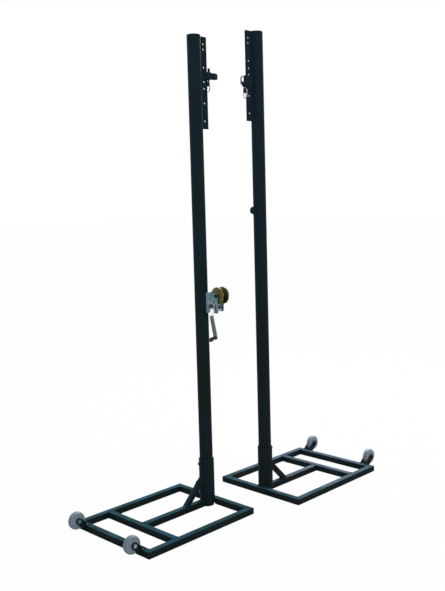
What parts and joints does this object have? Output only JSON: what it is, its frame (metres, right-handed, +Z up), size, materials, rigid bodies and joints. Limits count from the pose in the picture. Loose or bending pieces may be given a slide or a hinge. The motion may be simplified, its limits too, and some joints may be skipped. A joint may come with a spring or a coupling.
{
  "type": "volleyball net posts on wheeled bases",
  "caption": "Free-standing volleyball net posts on wheeled square-tube bases, with net carriages sliding on drilled height bars and a geared hand winch.",
  "frame": {"origin": "on the floor, midway between the two posts, at the bottom centre of the bounding box", "axes": "+Z up along the poles, +X along the net from the winch post to the hook post, +Y across the net, away from the winch"},
  "size_m": [1.909, 0.697, 2.595],
  "materials": {
    "frame_paint": "satin near-black green paint",
    "zinc_hardware": "bright zinc plate",
    "dark_hardware": "dark blackened steel",
    "winch_plate": "blue-grey zinc plate",
    "crank_steel": "grey zinc plate",
    "yellow_zinc": "yellow passivated zinc plate",
    "wheel_nylon": "cast nylon",
    "black_plastic": "moulded black plastic",
    "snap_steel": "bright plated steel wire"
  },
  "bodies": {
    "winch_base": {"winch_base_side_rails": "frame_paint", "winch_base_wheel_rail": "frame_paint", "winch_base_pole_rail": "frame_paint", "winch_base_cross_rail": "frame_paint", "winch_base_spine": "frame_paint", "winch_base_sleeve": "frame_paint", "winch_base_brace": "frame_paint", "winch_base_wheel_forks": "frame_paint", "winch_base_axle_bolts": "zinc_hardware"},
    "hook_base": {"hook_base_side_rails": "frame_paint", "hook_base_wheel_rail": "frame_paint", "hook_base_pole_rail": "frame_paint", "hook_base_cross_rail": "frame_paint", "hook_base_spine": "frame_paint", "hook_base_sleeve": "frame_paint", "hook_base_brace": "frame_paint", "hook_base_wheel_forks": "frame_paint", "hook_base_axle_bolts": "zinc_hardware"},
    "winch_clamp": {"winch_base_clamp_bolt": "zinc_hardware"},
    "hook_clamp": {"hook_base_clamp_bolt": "zinc_hardware"},
    "winch_wheel_left": {"winch_post_wheel_left": "wheel_nylon", "winch_post_bush_left": "zinc_hardware"},
    "winch_wheel_right": {"winch_post_wheel_right": "wheel_nylon", "winch_post_bush_right": "zinc_hardware"},
    "hook_wheel_left": {"hook_post_wheel_left": "wheel_nylon", "hook_post_bush_left": "zinc_hardware"},
    "hook_wheel_right": {"hook_post_wheel_right": "wheel_nylon", "hook_post_bush_right": "zinc_hardware"},
    "winch_pole": {"winch_pole_tube": "frame_paint", "winch_pole_cap": "black_plastic", "winch_pole_height_bar": "frame_paint", "winch_bracket": "frame_paint", "winch_frame": "winch_plate", "winch_frame_bolts": "zinc_hardware", "drum_axle_bolt": "dark_hardware"},
    "hook_pole": {"hook_pole_tube": "frame_paint", "hook_pole_cap": "black_plastic", "hook_pole_height_bar": "frame_paint", "tie_lug": "frame_paint"},
    "rope_drum": {"drum": "yellow_zinc", "drum_gear": "yellow_zinc"},
    "crank": {"pinion_shaft": "zinc_hardware", "ratchet_wheel": "zinc_hardware", "crank_arm": "crank_steel", "crank_nut": "dark_hardware"},
    "grip": {"crank_grip": "black_plastic"},
    "pawl": {"ratchet_pawl": "zinc_hardware"},
    "winch_slider": {"winch_carriage": "frame_paint", "rope_sheave_bolt": "zinc_hardware"},
    "sheave": {"rope_sheave": "black_plastic"},
    "winch_lock": {"winch_carriage_lock_pin": "zinc_hardware"},
    "winch_snap": {"winch_snap_hook": "snap_steel"},
    "winch_gate": {"winch_snap_gate": "snap_steel"},
    "hook_slider": {"hook_carriage": "frame_paint", "net_hook": "frame_paint"},
    "hook_lock": {"hook_carriage_lock_pin": "zinc_hardware"},
    "hook_snap": {"hook_snap_hook": "snap_steel"},
    "hook_gate": {"hook_snap_gate": "snap_steel"}
  },
  "joints": [
    {"name": "post_spacing", "type": "slide", "parent": "winch_base", "child": "hook_base", "axis": [0.9999, 0.0103, 0], "range_m": [0, 10.632]},
    {"name": "winch_clamp_turn", "type": "hinge", "parent": "winch_base", "child": "winch_clamp", "pos_m": [-0.1845, 0.0545, 0.246], "axis": [-1, 0, 0], "range_deg": [0, 540]},
    {"name": "hook_clamp_turn", "type": "hinge", "parent": "hook_base", "child": "hook_clamp", "pos_m": [0.1845, -0.0545, 0.246], "axis": [1, 0, 0], "range_deg": [0, 540]},
    {"name": "winch_wheel_left_spin", "type": "hinge", "parent": "winch_base", "child": "winch_wheel_left", "pos_m": [-0.9085, 0.2775, 0.071], "axis": [0, 1, 0], "continuous": true},
    {"name": "winch_wheel_right_spin", "type": "hinge", "parent": "winch_base", "child": "winch_wheel_right", "pos_m": [-0.9085, -0.1685, 0.071], "axis": [0, 1, 0], "continuous": true},
    {"name": "hook_wheel_left_spin", "type": "hinge", "parent": "hook_base", "child": "hook_wheel_left", "pos_m": [0.9085, -0.2775, 0.071], "axis": [0, 1, 0], "continuous": true},
    {"name": "hook_wheel_right_spin", "type": "hinge", "parent": "hook_base", "child": "hook_wheel_right", "pos_m": [0.9085, 0.1685, 0.071], "axis": [0, 1, 0], "continuous": true},
    {"name": "winch_pole_lift", "type": "slide", "parent": "winch_base", "child": "winch_pole", "axis": [0, 0, 1], "range_m": [-0.05, 0.1]},
    {"name": "hook_pole_lift", "type": "slide", "parent": "hook_base", "child": "hook_pole", "axis": [0, 0, 1], "range_m": [-0.045, 0.05]},
    {"name": "crank_spin", "type": "hinge", "parent": "winch_pole", "child": "crank", "pos_m": [-0.1845, -0.06571, 1.13156], "axis": [1, 0, 0], "continuous": true},
    {"name": "drum_spin", "type": "hinge", "parent": "winch_pole", "child": "rope_drum", "pos_m": [-0.1845, -0.0895, 1.185], "axis": [1, 0, 0], "continuous": true},
    {"name": "grip_spin", "type": "hinge", "parent": "crank", "child": "grip", "pos_m": [-0.244, -0.10305, 0.96981], "axis": [-0.9703, -0.0544, -0.2357], "continuous": true},
    {"name": "pawl_swing", "type": "hinge", "parent": "winch_pole", "child": "pawl", "pos_m": [-0.2145, -0.04152, 1.1485], "axis": [1, 0, 0], "range_deg": [0, 13]},
    {"name": "winch_carriage_slide", "type": "slide", "parent": "winch_pole", "child": "winch_slider", "axis": [0, 0, 1], "range_m": [-0.24, 0.161]},
    {"name": "hook_carriage_slide", "type": "slide", "parent": "hook_pole", "child": "hook_slider", "axis": [0, 0, 1], "range_m": [-0.17, 0.231]},
    {"name": "sheave_spin", "type": "hinge", "parent": "winch_slider", "child": "sheave", "pos_m": [-0.0475, 0.0545, 2.348], "axis": [0, 1, 0], "continuous": true},
    {"name": "winch_lock_push", "type": "slide", "parent": "winch_slider", "child": "winch_lock", "axis": [0, -1, 0], "range_m": [0, 0.009]},
    {"name": "hook_lock_push", "type": "slide", "parent": "hook_slider", "child": "hook_lock", "axis": [0, -1, 0], "range_m": [0, 0.009]},
    {"name": "winch_snap_swing", "type": "hinge", "parent": "winch_slider", "child": "winch_snap", "pos_m": [-0.08682, 0.0545, 2.32], "axis": [0, 1, 0], "range_deg": [-60, 6]},
    {"name": "hook_snap_swing", "type": "hinge", "parent": "hook_slider", "child": "hook_snap", "pos_m": [0.08682, -0.0545, 2.286], "axis": [0, 1, 0], "range_deg": [-6, 60]},
    {"name": "winch_gate_open", "type": "hinge", "parent": "winch_snap", "child": "winch_gate", "pos_m": [-0.08682, 0.0665, 2.28822], "axis": [1, 0, 0], "range_deg": [0, 25], "stiffness_Nm_per_rad": 0.03, "springref_deg": -28.65},
    {"name": "hook_gate_open", "type": "hinge", "parent": "hook_snap", "child": "hook_gate", "pos_m": [0.08682, -0.0665, 2.25422], "axis": [-1, 0, 0], "range_deg": [0, 25], "stiffness_Nm_per_rad": 0.03, "springref_deg": -28.65}
  ],
  "couplings": [
    {"joint": "drum_spin", "follows": "crank_spin", "ratio": -0.33333}
  ]
}
